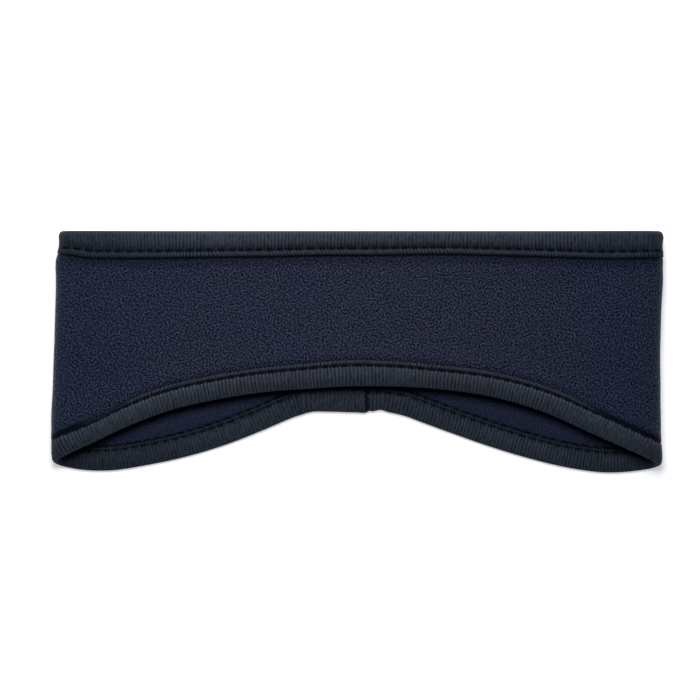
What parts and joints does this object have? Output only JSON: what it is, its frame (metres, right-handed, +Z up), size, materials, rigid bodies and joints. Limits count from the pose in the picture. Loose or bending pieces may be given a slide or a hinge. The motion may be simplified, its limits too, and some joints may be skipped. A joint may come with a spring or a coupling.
{
  "type": "ear warmer headband",
  "caption": "Fleece ear warmer headband, a closed loop arched over the face and deeper over the ears, with knitted tape bound over both edges, lying flat.",
  "frame": {"origin": "on the surface the headband lies on, under the middle of its bounding box", "axes": "+X across the wearer's width, +Y towards the headband's top edge, +Z up, out of the front panel"},
  "size_m": [0.265, 0.1048, 0.0155],
  "materials": {
    "fleece": "navy pebbled fleece outside, brushed inside",
    "binding": "charcoal navy ribbed knit tape"
  },
  "bodies": {
    "root": {"fleece_band": "fleece", "top_binding": "binding", "bottom_binding": "binding"}
  },
  "joints": []
}
